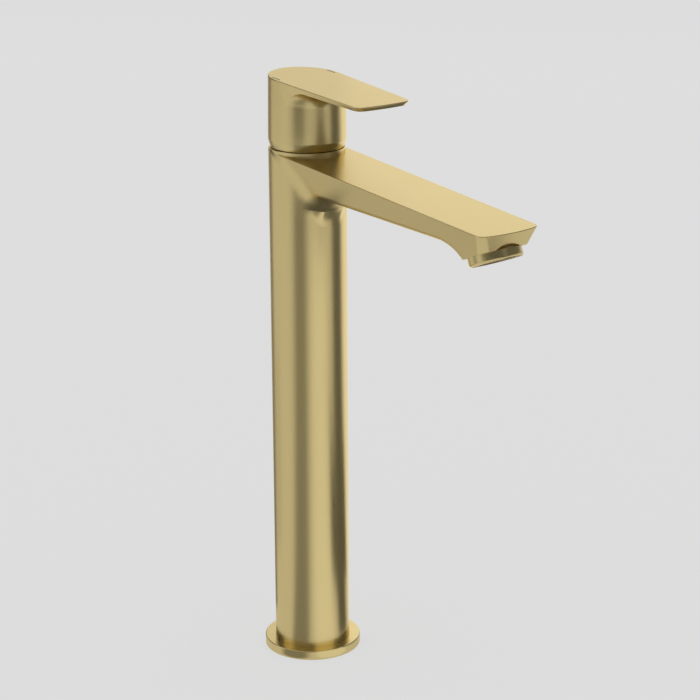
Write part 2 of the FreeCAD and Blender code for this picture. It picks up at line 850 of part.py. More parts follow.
def make_face_seals(name, height):
    """A pair of O-rings around the two ports."""
    radius = size.port_radius + size.port_seal_inset + size.port_seal_radius + size.seat_gap
    rings = []
    for port, side in (("hot", -1), ("cold", 1)):
        rings.append(seal_ring(f"{port}_{name}", radius, size.port_seal_radius,
                               size.port_offset * side, height))
    return group(name, rings)


def make_fixed_disc():
    """Lower ceramic disc with the two ports."""
    disc = cylinder("fixed_disc_blank", housing_bore - size.fixed_disc_margin, size.fixed_disc_height,
                    z=disc_floor)
    ports = []
    for name, side in (("hot", -1), ("cold", 1)):
        ports.append(cylinder(f"{name}_disc_port", size.port_radius, size.fixed_disc_height,
                              x=size.port_offset * side, z=disc_floor))
    return cut("ceramic_fixed_disc", disc, *ports)


def disc_slot(name, floor, height):
    """Slot that joins the ports when the discs line up."""
    return block(name, size.disc_slot_length, size.disc_slot_width, height,
                 y=ball_shift + size.disc_slot_offset, z=floor)


def make_moving_disc():
    """Upper ceramic disc that slides and turns over the ports."""
    disc = cylinder("moving_disc_blank", size.moving_disc_radius, size.moving_disc_height,
                    y=ball_shift, z=moving_floor)
    return cut("ceramic_moving_disc", disc, disc_slot("moving_slot", moving_floor, size.moving_disc_height))


def make_disc_carrier():
    """Slider over the moving disc, with a fork that the spindle's ball pushes."""
    plate = cylinder("carrier_plate", size.moving_disc_radius, size.carrier_height,
                     y=ball_shift, z=carrier_floor)
    open_plate = cut("carrier_open", plate, disc_slot("carrier_slot", carrier_floor, size.carrier_height))
    pocket_width = (size.ball_radius + size.ball_gap) * 2
    fork_floor = carrier_top - size.carrier_height / 4
    fork_top = ball_height + size.fork_rise
    fork = block("carrier_fork", size.fork_width, pocket_width + size.fork_wall * 2, fork_top - fork_floor,
                 y=ball_shift, z=fork_floor)
    pocket_floor = ball_height - size.ball_radius - size.ball_floor_gap
    pocket = block("carrier_pocket", size.fork_width * 2, pocket_width, fork_top,
                   y=ball_shift, z=pocket_floor)
    return cut("disc_carrier", fused("carrier_whole", open_plate, fork), pocket)


def make_cartridge_housing():
    """Shell of the cartridge, with windows for the water and a neck for the rotor."""
    groove_inner = o_ring_circle - size.o_ring_radius - size.seat_gap
    groove_half = size.o_ring_radius + size.seat_gap
    shell = revolved("housing_shell", [
        (housing_bore, housing_bottom),
        (size.housing_radius, housing_bottom),
        (size.housing_radius, o_ring_height - groove_half),
        (groove_inner, o_ring_height - groove_half),
        (groove_inner, o_ring_height + groove_half),
        (size.housing_radius, o_ring_height + groove_half),
        (size.housing_radius, housing_top),
        (size.neck_radius, housing_top),
        (size.neck_radius, neck_top),
        (neck_bore, neck_top),
        (neck_bore, cavity_top),
        (housing_bore, cavity_top),
    ])
    across = size.housing_radius * 3
    windows = [
        block("side_windows", across, size.window_width, size.window_height, z=window_floor),
        block("end_windows", size.window_width, across, size.window_height, z=window_floor),
    ]
    return cut("cartridge_housing", shell, *windows)


def make_cartridge_nut():
    """Ring nut that holds the cartridge down, with notches for its key."""
    ring = washer("nut_blank", hub_bore, size.chamber_radius - size.nut_thread_gap, housing_top, nut_top)
    across = size.chamber_radius * 3
    floor = nut_top - size.nut_notch_depth
    notches = [
        block("side_notches", across, size.nut_notch_width, size.nut_height, z=floor),
        block("end_notches", size.nut_notch_width, across, size.nut_height, z=floor),
    ]
    return cut("cartridge_nut", ring, *notches)


def make_limit_ring():
    """Ring on the cartridge's neck that limits the hot side."""
    return washer("limit_ring", guide_radius + size.swing_gap, size.neck_radius, neck_top,
                  neck_top + size.limit_ring_height)


def make_trim_dome():
    """Fixed dome under the handle's skirt, centred on the lever's pivot."""
    inner_radius = dome_radius - size.dome_wall
    rise_sine = sine(size.dome_rise_angle)
    rise_cosine = cosine(size.dome_rise_angle)
    shelf = pivot_height - leg(inner_radius, hub_radius)
    return revolved("trim_dome", [
        (hub_bore, nut_top),
        (hub_radius, nut_top),
        (hub_radius, pivot_height - leg(dome_radius, hub_radius)),
        (dome_radius * rise_cosine, pivot_height + dome_radius * rise_sine, dome_radius, 1),
        (inner_radius * rise_cosine, pivot_height + inner_radius * rise_sine),
        (hub_radius, shelf, inner_radius, -1),
        (hub_bore, shelf),
    ])


def make_spindle_guide():
    """Rotor that turns with the handle and carries the pivot pin."""
    body = revolved("guide_blank", [
        (0, guide_bottom),
        (size.guide_flange_radius, guide_bottom),
        (size.guide_flange_radius, guide_flange_top),
        (guide_radius, guide_flange_top),
        (guide_radius, guide_top),
        (0, guide_top),
    ])
    slot = block("guide_slot", size.fork_width + size.slide_gap * 2, (guide_radius - size.guide_slot_end) * 2,
                 guide_top, z=guide_bottom - size.guide_rise)
    hole = bar_along_x("guide_pin_hole", size.pin_radius + size.film_gap, guide_radius * 2,
                       z=pivot_height)
    return cut("spindle_guide", body, slot, hole)


def make_pivot_pin():
    """Pin that the spindle tilts on."""
    return bar_along_x("pivot_pin", size.pin_radius, guide_radius - size.pin_inset, z=pivot_height)


def make_spindle():
    """Stem between the handle and the disc carrier, with a ball at its lower end."""
    stem = block("spindle_stem", size.spindle_width, size.spindle_depth, spindle_top - pivot_height,
                 z=pivot_height)
    boss = bar_along_x("spindle_boss", size.spindle_boss_radius, size.spindle_width / 2, z=pivot_height)
    tail = cylinder("spindle_tail", size.tail_radius, size.tail_length, y=ball_shift, z=ball_height,
                    angle=tail_lean)
    tip = ball("spindle_ball", size.ball_radius, y=ball_shift, z=ball_height)
    hole = bar_along_x("spindle_pin_hole", size.pin_radius + size.pin_gap, size.spindle_width,
                       z=pivot_height)
    return cut("spindle", fused("spindle_whole", stem, boss, tail, tip), hole)


def skirt_form(name):
    """Outside of the handle's skirt: a ball zone about the pivot, then a cone that narrows upwards."""
    crown = size.handle_radius / 4
    crown_radius = size.handle_radius - size.handle_taper * (size.handle_height + crown) / size.handle_height
    form = revolved(name, [
        (0, lip_height),
        (leg(lip_ball_radius, size.lip_drop), lip_height),
        (size.handle_radius, pivot_height - leg(lip_ball_radius, size.handle_radius), lip_ball_radius, 1),
        (size.handle_radius, pivot_height),
        (crown_radius, lever_height + crown),
        (0, lever_height + crown),
    ])
    return place(form, axis=Z_AXIS, angle=SEAM_TURN)


def cone_radius(height):
    """Radius of the handle's cone at a height."""
    share = (height - pivot_height.value) / size.handle_height.value
    return size.handle_radius.value - size.handle_taper.value * share


def make_lever():
    """The flat lever alone: a thin tongue whose sides lean in towards its tip."""
    reserve = size.lever_root_fillet * 2
    depth = size.lever_root_depth + reserve
    upper = size.handle_radius - size.handle_taper - size.seam_inset
    lower = upper + size.handle_taper * depth / size.handle_height
    envelope = tongue_envelope(
        "lever", (upper, lower), lever_height, size.lever_reach, size.lever_tip_half_width,
        size.lever_tip_draft, depth, size.lever_front_radius, size.lever_front_draft,
        size.lever_corner_radius)
    ahead = size.lever_reach * 1.5
    behind = upper + reserve
    roof = lever_height + size.lever_root_depth
    blade = slab("lever_blade", [
        (-ahead, lever_floor - lever_rise * ahead),
        (behind, lever_floor + lever_rise * behind),
        (behind, roof),
        (-ahead, roof),
    ], behind)
    return common("lever_tongue", blade, envelope)


def mark_box(name, side, gap, height):
    """Box for an index mark, sunk square into the lever's sloping top."""
    box = doc.addObject("Part::Box", name)
    width = size.mark_width + gap * 2
    length = size.mark_length + gap * 2
    bind(box, Length=width, Width=length, Height=height)
    tilt_sine = sine(size.top_slope)
    tilt_cosine = cosine(size.top_slope)
    return place(box, x=size.mark_offset * side - width / 2,
                 y=size.mark_shift - tilt_cosine * length / 2 + tilt_sine * size.mark_depth,
                 z=(lever_height + top_rise * size.mark_shift
                    - tilt_sine * length / 2 - tilt_cosine * size.mark_depth),
                 axis=X_AXIS, angle=size.top_slope)


def handle_hollow():
    """Space inside the handle, around the dome and the cartridge's neck, with the grip left standing."""
    bore_top = pivot_height + size.skirt_bore_height
    taper_top = bore_top + size.skirt_taper_height
    upper_radius = size.handle_radius - size.skirt_upper_wall
    space = revolved("hollow_turned", [
        (0, pivot_height - skirt_inner),
        (skirt_inner, pivot_height, skirt_inner, 1),
        (skirt_inner, bore_top),
        (upper_radius, taper_top),
        (upper_radius, lever_height + size.handle_radius),
        (0, lever_height + size.handle_radius),
    ])
    roof = above_slope("above_roof", lever_height - size.handle_roof, size.lever_reach)
    grip = cylinder("handle_grip", size.grip_radius, lever_height, z=pivot_height + size.grip_rise)
    return cut("handle_space", space, roof, grip)


def make_handle():
    """Skirt and lever in one piece, with the grip for the spindle inside."""
    joined = fused("handle_joined", skirt_form("handle_skirt"), make_lever())
    topped = cut("handle_topped", joined, above_slope("above_lever", lever_height, size.lever_reach))
    root = root_edge(cone_radius, lever_floor, lever_rise)
    blended = rounded("handle_blended", topped, size.lever_root_fillet, root)
    eased = rounded("handle_eased", blended, size.edge_round, on_slope(lever_height))
    socket_top = spindle_top + size.seat_gap
    tools = [
        handle_hollow(),
        block("grip_socket", size.spindle_width + size.seat_gap * 2, size.spindle_depth + size.seat_gap * 2,
              spindle_top - pivot_height, z=socket_top - spindle_top + pivot_height),
        bar_along_y("screw_hole", size.screw_radius + size.seat_gap, size.grip_radius * 2,
                    z=screw_height),
        bar_along_y("cap_hole", size.cap_radius + size.seat_gap, size.handle_radius, y=size.grip_radius * 2,
                    z=screw_height),
    ]
    for name, side in (("hot", -1), ("cold", 1)):
        tools.append(mark_box(f"{name}_recess", side, size.seat_gap, size.mark_depth * 2))
    return cut("handle", eased, *tools)


def make_handle_set_screw():
    """Grub screw that holds the handle on the spindle."""
    return bar_along_y("handle_set_screw", size.screw_radius, size.screw_length,
                       y=size.spindle_depth / 2 + size.seat_gap, z=screw_height)


def make_screw_cap():
    """Plug over the grub screw, flush with the skirt's back."""
    bar = bar_along_y("cap_bar", size.cap_radius, size.handle_radius,
                      y=size.handle_radius - size.cap_length, z=screw_height)
    return common("screw_cap", bar, skirt_form("cap_limit"))


def make_index_inlays():
    """The two short marks in the lever's top."""
    marks = []
    for name, side in (("hot", -1), ("cold", 1)):
        marks.append(mark_box(f"{name}_mark", side, as_size(0), size.mark_depth))
    return group("index_inlays", marks)


def make_aerator_shell():
    """Outlet collar with the sleeve that fits the spout."""
    lip_inner = aerator_inner - size.outlet_lip_width
    bottom = -size.collar_height
    shell = revolved("aerator_shell", [
        (lip_inner, bottom),
        (size.collar_radius - size.collar_edge, bottom),
        (size.collar_radius, size.collar_edge - size.collar_height, size.collar_edge, 1),
        (size.collar_radius, 0),
        (sleeve_radius, 0),
        (sleeve_radius, size.sleeve_height),
        (aerator_inner, size.sleeve_height),
        (aerator_inner, aerator_floor),
        (lip_inner, aerator_floor),
    ])
    return at_outlet(shell)


def drilled_disc(name, radius, height, rise, rings):
    """Disc in the outlet with rings of (count, hole radius, circle radius) holes."""
    disc = revolved(name, [(0, 0), (radius, 0), (radius, height), (0, height)])
    for number, (count, hole, circle) in enumerate(rings, start=1):
        ring_of_holes(disc, f"{name}_ring_{number}", hole, circle, count, height * 2)
    return at_outlet(disc, rise)


def make_aerator_insert():
    """Flow straightener: rings of small holes, six more in each ring."""
    rings = [(6 * ring, size.insert_hole_radius, size.insert_pitch * ring) for ring in (1, 2, 3, 4)]
    return drilled_disc("aerator_insert", aerator_inner - size.seat_gap, size.insert_height,
                        aerator_floor, rings)


def make_aerator_screen():
    """Thin screen over the straightener."""
    rings = [(6 * ring, size.insert_hole_radius, size.insert_pitch * ring * 2) for ring in (1, 2)]
    return drilled_disc("aerator_screen", aerator_inner - size.seat_gap, size.screen_height,
                        aerator_floor + size.insert_height, rings)


def make_flow_regulator():
    """Disc that limits the flow."""
    rings = [(8, size.regulator_hole_radius, size.regulator_hole_circle)]
    return drilled_disc("flow_regulator", aerator_inner - size.seat_gap, size.regulator_height,
                        aerator_floor + size.insert_height + size.screen_height, rings)


def make_aerator_washer():
    """Seal between the sleeve's end and the spout."""
    ring = washer("aerator_washer", sleeve_radius - size.washer_width, sleeve_radius,
                  size.sleeve_height, size.sleeve_height + size.washer_height)
    return at_outlet(ring)


def write_parts(nodes):
    """Check every object and write each sub-part to its own file."""
    doc.recompute()
    for thing in doc.Objects:
        if "Invalid" in thing.State or "Error" in thing.State:
            raise RuntimeError(f"{thing.Name} did not compute")
    os.makedirs("parts", exist_ok=True)
    for node in nodes:
        node.Label = node.Name
        shape = node.Shape
        if shape.isNull() or not shape.isValid() or shape.Volume <= 0:
            raise RuntimeError(f"{node.Name} is not a sound solid")
        shape.exportStep(f"parts/{node.Name}.step")


write_parts([
    make_body_casting(),
    make_base_flange(),
    make_base_gasket(),
    make_inlet_block(),
    make_supply_tube("hot_supply_tube", -1),
    make_supply_tube("cold_supply_tube", 1),
    make_tube_seals(),
    make_cartridge_base(),
    make_face_seals("port_seals", chamber_floor + size.port_seal_radius + size.seat_gap / 2),
    make_face_seals("disc_seals", disc_floor - size.port_seal_radius - size.seat_gap / 2),
    make_fixed_disc(),
    make_moving_disc(),
    make_disc_carrier(),
    make_cartridge_housing(),
    seal_ring("housing_o_ring", o_ring_circle, size.o_ring_radius, 0, o_ring_height),
    make_cartridge_nut(),
    make_limit_ring(),
    make_trim_dome(),
    make_spindle_guide(),
    make_pivot_pin(),
    make_spindle(),
    make_handle(),
    make_handle_set_screw(),
    make_screw_cap(),
    make_index_inlays(),
    make_aerator_shell(),
    make_aerator_insert(),
    make_aerator_screen(),
    make_flow_regulator(),
    make_aerator_washer(),
])
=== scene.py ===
"""Looks for a tall single-lever basin mixer in brushed gold.

The frame's solids keep their shapes and get their finishes here, with the screw threads in the
foot as extra pieces. The origin is the centre of the foot's underside, +Z is up, and the spout
points to -Y. Lengths are metres and angles are degrees.
"""
import logging
import math
from collections.abc import Sequence
from dataclasses import dataclass, replace
from enum import Enum

import bpy
from mathutils import Matrix, Vector


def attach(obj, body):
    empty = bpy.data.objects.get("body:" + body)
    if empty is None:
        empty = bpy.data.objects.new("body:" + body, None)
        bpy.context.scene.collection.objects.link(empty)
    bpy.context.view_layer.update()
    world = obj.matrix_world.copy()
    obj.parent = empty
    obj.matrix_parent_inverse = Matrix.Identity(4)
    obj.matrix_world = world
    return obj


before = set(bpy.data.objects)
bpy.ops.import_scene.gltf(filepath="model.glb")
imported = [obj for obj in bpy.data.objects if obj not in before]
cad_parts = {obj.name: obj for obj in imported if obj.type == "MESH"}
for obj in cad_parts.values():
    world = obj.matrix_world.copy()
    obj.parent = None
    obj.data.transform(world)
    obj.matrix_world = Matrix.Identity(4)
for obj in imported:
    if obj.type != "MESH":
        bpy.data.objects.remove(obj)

LOG = logging.getLogger("basin_mixer")

Color = tuple[float, float, float]
WHITE = (1.0, 1.0, 1.0, 1.0)

# A mix node has a set of sockets for each data type, so its colour sockets go by number.
MIX_COLOR_A = 6
MIX_COLOR_B = 7
MIX_COLOR_RESULT = 2

# Every finish has a fine noise for its grain and a broad one for its tint.
FINE_DETAIL = 4.0
FINE_ROUGHNESS = 0.6
BROAD_SCALE = 22.0
BROAD_DETAIL = 2.0
NOISE_LOW = 0.3
NOISE_HIGH = 0.7
RELIEF_DEPTH = 0.00008

# Far cards stand round the set like the walls of a room.
WALL_DISTANCE = 1.5
WALL_TOP = 2.8


class Grain(Enum):
    """Direction that a finish is brushed in, as stretch factors for a noise in object space."""

    UP = (1.0, 1.0, 0.02)
    ALONG = (1.0, 0.02, 1.0)
    ROUND = (0.03, 0.03, 1.0)
    NONE = (1.0, 1.0, 1.0)


class NodeSheet:
    """A node tree with short calls for adding and joining nodes."""

    def __init__(self, tree: bpy.types.NodeTree) -> None:
        """Empty the tree and keep it.

        Args:
            tree: The node tree to fill.
        """
        self.tree = tree
        tree.nodes.clear()

    def add(self, kind: str, values: dict | None = None, **settings: object) -> bpy.types.Node:
        """Add a node.

        Args:
            kind: The node's type name.
            values: Input values by socket name or number.
            settings: Properties of the node itself.

        Returns:
            The new node.
        """
        node = self.tree.nodes.new(kind)
        for name, value in settings.items():
            setattr(node, name, value)
        for key, value in (values or {}).items():
            node.inputs[key].default_value = value
        return node

    def join(self, source: bpy.types.NodeSocket, target: bpy.types.NodeSocket) -> None:
        """Link an output to an input.

        Args:
            source: The output.
            target: The input.
        """
        self.tree.links.new(source, target)

    def blend(self, share: bpy.types.NodeSocket, first: bpy.types.Node,
              second: bpy.types.Node) -> bpy.types.Node:
        """Mix two shaders.

        Args:
            share: How much of the second shader shows.
            first: The shader that shows at 0.
            second: The shader that shows at 1.

        Returns:
            The mix node.
        """
        mix = self.add("ShaderNodeMixShader")
        for number, source in enumerate((share, first.outputs[0], second.outputs[0])):
            self.join(source, mix.inputs[number])
        return mix


@dataclass(frozen=True)
class Finish:
    """A surface finish: colour, gloss and a fine brushed or moulded grain.

    Attributes:
        name: Name of the material.
        color: Main colour.
        tint: Second colour, which comes in broad patches.
        metallic: Share of metal, from 0 to 1.
        roughness: Mean roughness.
        spread: How far the grain takes the roughness up and down.
        grain: Direction of the grain.
        grain_scale: Fineness of the grain.
        relief: Strength of the grain's bump.
        edge: Tint of the reflection at grazing angles.
    """

    name: str
    color: Color
    tint: Color
    metallic: float
    roughness: float
    spread: float
    grain: Grain
    grain_scale: float
    relief: float
    edge: Color = (1.0, 1.0, 1.0)

    def material(self) -> bpy.types.Material:
        """Build the finish's material.

        Returns:
            The material, made once for each name.
        """
        found = bpy.data.materials.get(self.name)
        if found:
            return found
        made = bpy.data.materials.new(self.name)
        made.use_nodes = True
        sheet = NodeSheet(made.node_tree)
        out = sheet.add("ShaderNodeOutputMaterial")
        shader = sheet.add("ShaderNodeBsdfPrincipled", {
            "Metallic": self.metallic, "Specular Tint": (*self.edge, 1.0)})
        place = sheet.add("ShaderNodeTexCoord")
        turn = sheet.add("ShaderNodeMapping", {"Scale": self.grain.value})
        fine = sheet.add("ShaderNodeTexNoise", {
            "Scale": self.grain_scale, "Detail": FINE_DETAIL, "Roughness": FINE_ROUGHNESS})
        broad = sheet.add("ShaderNodeTexNoise", {"Scale": BROAD_SCALE, "Detail": BROAD_DETAIL})
        gloss = sheet.add("ShaderNodeMapRange", {
            "From Min": NOISE_LOW, "From Max": NOISE_HIGH,
            "To Min": self.roughness - self.spread, "To Max": self.roughness + self.spread})
        mix = sheet.add("ShaderNodeMix", {
            MIX_COLOR_A: (*self.color, 1.0), MIX_COLOR_B: (*self.tint, 1.0)}, data_type="RGBA")
        bump = sheet.add("ShaderNodeBump", {"Strength": self.relief, "Distance": RELIEF_DEPTH})
        sheet.join(place.outputs["Object"], turn.inputs["Vector"])
        sheet.join(turn.outputs["Vector"], fine.inputs["Vector"])
        sheet.join(place.outputs["Object"], broad.inputs["Vector"])
        sheet.join(fine.outputs["Fac"], gloss.inputs["Value"])
        sheet.join(broad.outputs["Fac"], mix.inputs["Factor"])
        sheet.join(fine.outputs["Fac"], bump.inputs["Height"])
        sheet.join(mix.outputs[MIX_COLOR_RESULT], shader.inputs["Base Color"])
        sheet.join(gloss.outputs["Result"], shader.inputs["Roughness"])
        sheet.join(bump.outputs["Normal"], shader.inputs["Normal"])
        sheet.join(shader.outputs["BSDF"], out.inputs["Surface"])
        return made


BRUSHED_GOLD = Finish(
    "brushed_gold", color=(0.72, 0.585, 0.275), tint=(0.70, 0.565, 0.265), metallic=1.0,
    roughness=0.30, spread=0.03, grain=Grain.UP, grain_scale=2600.0, relief=0.05,
    edge=(0.98, 0.92, 0.80))
BRUSHED_GOLD_LEVER = replace(BRUSHED_GOLD, name="brushed_gold_lever", grain=Grain.ALONG)
TURNED_GOLD = replace(BRUSHED_GOLD, name="turned_gold", roughness=0.28, grain=Grain.ROUND)
RAW_BRASS = Finish(
    "raw_brass", color=(0.62, 0.44, 0.17), tint=(0.56, 0.38, 0.14), metallic=1.0,
    roughness=0.34, spread=0.08, grain=Grain.ROUND, grain_scale=900.0, relief=0.2)
COPPER = Finish(
    "copper_tube", color=(0.66, 0.32, 0.18), tint=(0.55, 0.25, 0.14), metallic=1.0,
    roughness=0.32, spread=0.08, grain=Grain.UP, grain_scale=700.0, relief=0.2)
STEEL = Finish(
    "stainless_steel", color=(0.56, 0.56, 0.55), tint=(0.50, 0.50, 0.49), metallic=1.0,
    roughness=0.30, spread=0.08, grain=Grain.ROUND, grain_scale=900.0, relief=0.2)
RUBBER = Finish(
    "black_rubber", color=(0.020, 0.020, 0.021), tint=(0.028, 0.028, 0.029), metallic=0.0,
    roughness=0.62, spread=0.08, grain=Grain.NONE, grain_scale=900.0, relief=0.3)
RESIN = Finish(
    "cartridge_resin", color=(0.62, 0.62, 0.60), tint=(0.56, 0.56, 0.54), metallic=0.0,
    roughness=0.45, spread=0.06, grain=Grain.NONE, grain_scale=500.0, relief=0.2)
CERAMIC = Finish(
    "alumina", color=(0.84, 0.83, 0.79), tint=(0.80, 0.79, 0.74), metallic=0.0,
    roughness=0.16, spread=0.03, grain=Grain.NONE, grain_scale=1500.0, relief=0.1)
DARK_MARK = Finish(
    "dark_mark", color=(0.060, 0.048, 0.026), tint=(0.045, 0.036, 0.020), metallic=0.3,
    roughness=0.45, spread=0.05, grain=Grain.ALONG, grain_scale=900.0, relief=0.2)
OUTLET_RESIN = Finish(
    "outlet_resin", color=(0.110, 0.090, 0.050), tint=(0.085, 0.070, 0.040), metallic=0.0,
    roughness=0.42, spread=0.05, grain=Grain.NONE, grain_scale=700.0, relief=0.2)


def dress(node: str, finish: Finish) -> None:
    """Give a frame node its finish.

    Args:
        node: The node's name.
        finish: The finish that covers all of it.
    """
    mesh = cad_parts[node].data
    mesh.materials.clear()
    mesh.materials.append(finish.material())
    LOG.info("%s wears %s", node, finish.name)


@dataclass
class Casting:
    """Column and spout in one piece."""

    finish: Finish = BRUSHED_GOLD

    def build(self) -> None:
        """Dress the casting."""
        dress("body_casting", self.finish)


@dataclass
class LeverHandle:
    """Handle, its marks, the dome under its skirt and what holds it on the spindle."""

    finish: Finish = BRUSHED_GOLD_LEVER
    dome_finish: Finish = TURNED_GOLD

    def build(self) -> None:
        """Dress the handle's pieces."""
        dress("handle", self.finish)
        dress("screw_cap", self.finish)
        dress("trim_dome", self.dome_finish)
        dress("index_inlays", DARK_MARK)
        dress("handle_set_screw", STEEL)


@dataclass
class Outlet:
    """Aerator in the spout's tip."""

    finish: Finish = TURNED_GOLD

    def build(self) -> None:
        """Dress the aerator's pieces."""
        dress("aerator_shell", self.finish)
        dress("aerator_insert", OUTLET_RESIN)
        dress("aerator_screen", STEEL)
        dress("flow_regulator", OUTLET_RESIN)
        dress("aerator_washer", RUBBER)


@dataclass
class Cartridge:
    """Valve cartridge with its discs, seals and lever mechanism."""

    resin_nodes: tuple[str, ...] = (
        "cartridge_base", "cartridge_housing", "limit_ring", "spindle_guide", "disc_carrier")
    seal_nodes: tuple[str, ...] = ("port_seals", "disc_seals", "housing_o_ring")
    disc_nodes: tuple[str, ...] = ("ceramic_fixed_disc", "ceramic_moving_disc")
    brass_nodes: tuple[str, ...] = ("cartridge_nut", "spindle")
    steel_nodes: tuple[str, ...] = ("pivot_pin",)

    def build(self) -> None:
        """Dress the cartridge's pieces."""
        groups = (
            (self.resin_nodes, RESIN), (self.seal_nodes, RUBBER), (self.disc_nodes, CERAMIC),
            (self.brass_nodes, RAW_BRASS), (self.steel_nodes, STEEL))
        for nodes, finish in groups:
            for node in nodes:
                dress(node, finish)


@dataclass(frozen=True)
class Thread:
    """An inner thread's hole radius, depth and pitch."""

    radius: float
    depth: float
    pitch: float


@dataclass
class Foot:
    """Foot plate, gasket, inlet block with its threads, and the supply tubes."""

    finish: Finish = TURNED_GOLD
    hose: Thread = Thread(radius=0.00446, depth=0.011, pitch=0.001)
    hose_offset: float = 0.0065
    stud: Thread = Thread(radius=0.00332, depth=0.014, pitch=0.00125)
    stud_offset: float = 0.0105
    ridge_share: float = 0.45
    ring_sides: int = 40
    ridge_sides: int = 4

    def build(self) -> None:
        """Dress the foot's pieces and line its holes with threads."""
        dress("base_flange", self.finish)
        dress("base_gasket", RUBBER)
        dress("inlet_block", RAW_BRASS)
        dress("hot_supply_tube", COPPER)
        dress("cold_supply_tube", COPPER)
        dress("tube_seals", RUBBER)
        tree = self.thread_tree()
        self.line_hole(tree, "hot_inlet_thread", (-self.hose_offset, 0.0), self.hose)
        self.line_hole(tree, "cold_inlet_thread", (self.hose_offset, 0.0), self.hose)
        self.line_hole(tree, "front_stud_thread", (0.0, -self.stud_offset), self.stud)
        self.line_hole(tree, "rear_stud_thread", (0.0, self.stud_offset), self.stud)

    def thread_tree(self) -> bpy.types.GeometryNodeTree:
        """Build the node tree that stacks thread ridges up a hole.

        Returns:
            The tree, with inputs for the hole, the ridge and the material.
        """
        tree = bpy.data.node_groups.new("thread_ridges", "GeometryNodeTree")
        face = tree.interface
        face.new_socket("Geometry", in_out="OUTPUT", socket_type="NodeSocketGeometry")
        for name in ("Hole Radius", "Pitch", "Ridge"):
            face.new_socket(name, in_out="INPUT", socket_type="NodeSocketFloat")
        face.new_socket("Turns", in_out="INPUT", socket_type="NodeSocketInt")
        face.new_socket("Material", in_out="INPUT", socket_type="NodeSocketMaterial")
        sheet = NodeSheet(tree)
        given = sheet.add("NodeGroupInput")
        out = sheet.add("NodeGroupOutput")
        ring = sheet.add("GeometryNodeCurvePrimitiveCircle", {"Resolution": self.ring_sides})
        profile = sheet.add("GeometryNodeCurvePrimitiveCircle", {"Resolution": self.ridge_sides})
        sweep = sheet.add("GeometryNodeCurveToMesh")
        offset = sheet.add("ShaderNodeCombineXYZ")
        line = sheet.add("GeometryNodeMeshLine")
        copies = sheet.add("GeometryNodeInstanceOnPoints")
        real = sheet.add("GeometryNodeRealizeInstances")
        paint = sheet.add("GeometryNodeSetMaterial")
        sheet.join(given.outputs["Hole Radius"], ring.inputs["Radius"])
        sheet.join(given.outputs["Ridge"], profile.inputs["Radius"])
        sheet.join(given.outputs["Pitch"], offset.inputs["Z"])
        sheet.join(given.outputs["Turns"], line.inputs["Count"])
        sheet.join(offset.outputs["Vector"], line.inputs["Offset"])
        sheet.join(ring.outputs["Curve"], sweep.inputs["Curve"])
        sheet.join(profile.outputs["Curve"], sweep.inputs["Profile Curve"])
        sheet.join(line.outputs["Mesh"], copies.inputs["Points"])
        sheet.join(sweep.outputs["Mesh"], copies.inputs["Instance"])
        sheet.join(copies.outputs["Instances"], real.inputs["Geometry"])
        sheet.join(real.outputs["Geometry"], paint.inputs["Geometry"])
        sheet.join(given.outputs["Material"], paint.inputs["Material"])
        sheet.join(paint.outputs["Geometry"], out.inputs["Geometry"])
        return tree

    def line_hole(self, tree: bpy.types.GeometryNodeTree, name: str, spot: tuple[float, float],
                  thread: Thread) -> None:
        """Make one hole's thread.

        Args:
            tree: The node tree that stacks the ridges.
            name: Name of the new piece.
            spot: The hole's x and y.
            thread: The hole's thread.
        """
        maker = bpy.data.objects.new(f"{name}_maker", bpy.data.meshes.new(f"{name}_maker"))
        bpy.context.scene.collection.objects.link(maker)
        modifier = maker.modifiers.new("ridges", "NODES")
        modifier.node_group = tree
        values = {
            "Hole Radius": thread.radius, "Pitch": thread.pitch,
            "Ridge": thread.pitch * self.ridge_share,
            "Turns": int(thread.depth / thread.pitch) - 1, "Material": RAW_BRASS.material()}
        for socket in tree.interface.items_tree:
            if socket.in_out == "INPUT":
                modifier[socket.identifier] = values[socket.name]
        graph = bpy.context.evaluated_depsgraph_get()
        mesh = bpy.data.meshes.new_from_object(maker.evaluated_get(graph))
        bpy.data.objects.remove(maker)
        mesh.name = name
        mesh.transform(Matrix.Translation((*spot, thread.pitch)))
        piece = bpy.data.objects.new(name, mesh)
        bpy.context.scene.collection.objects.link(piece)
        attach(piece, "body")
        LOG.info("%s made with %d faces", name, len(mesh.polygons))


def direction(azimuth: float, elevation: float = 0.0) -> Vector:
    """Point away from the object.

    Args:
        azimuth: Angle from the spout's side (-Y), positive towards +X.
        elevation: Angle above the floor.

    Returns:
        A vector of length 1.
    """
    turn = math.radians(azimuth)
    rise = math.radians(elevation)
    return Vector((
        math.sin(turn) * math.cos(rise), -math.cos(turn) * math.cos(rise), math.sin(rise)))


def sideways(azimuth: float) -> Vector:
    """Point level and square to an azimuth's direction.

    Args:
        azimuth: Angle from the spout's side (-Y), positive towards +X.

    Returns:
        A vector of length 1.
    """
    turn = math.radians(azimuth)
    return Vector((math.cos(turn), math.sin(turn), 0.0))


def flat_piece(name: str, corners: Sequence[Sequence[float]],
               paint: bpy.types.Material) -> bpy.types.Object:
    """Make a four-cornered sheet of the stage.

    Args:
        name: Name of the object and its mesh.
        corners: The four corners in order.
        paint: The sheet's material.

    Returns:
        The new object.
    """
    mesh = bpy.data.meshes.new(name)
    mesh.from_pydata(corners, [], [(0, 1, 2, 3)])
    mesh.materials.append(paint)
    sheet = bpy.data.objects.new(name, mesh)
    bpy.context.scene.collection.objects.link(sheet)
    return sheet


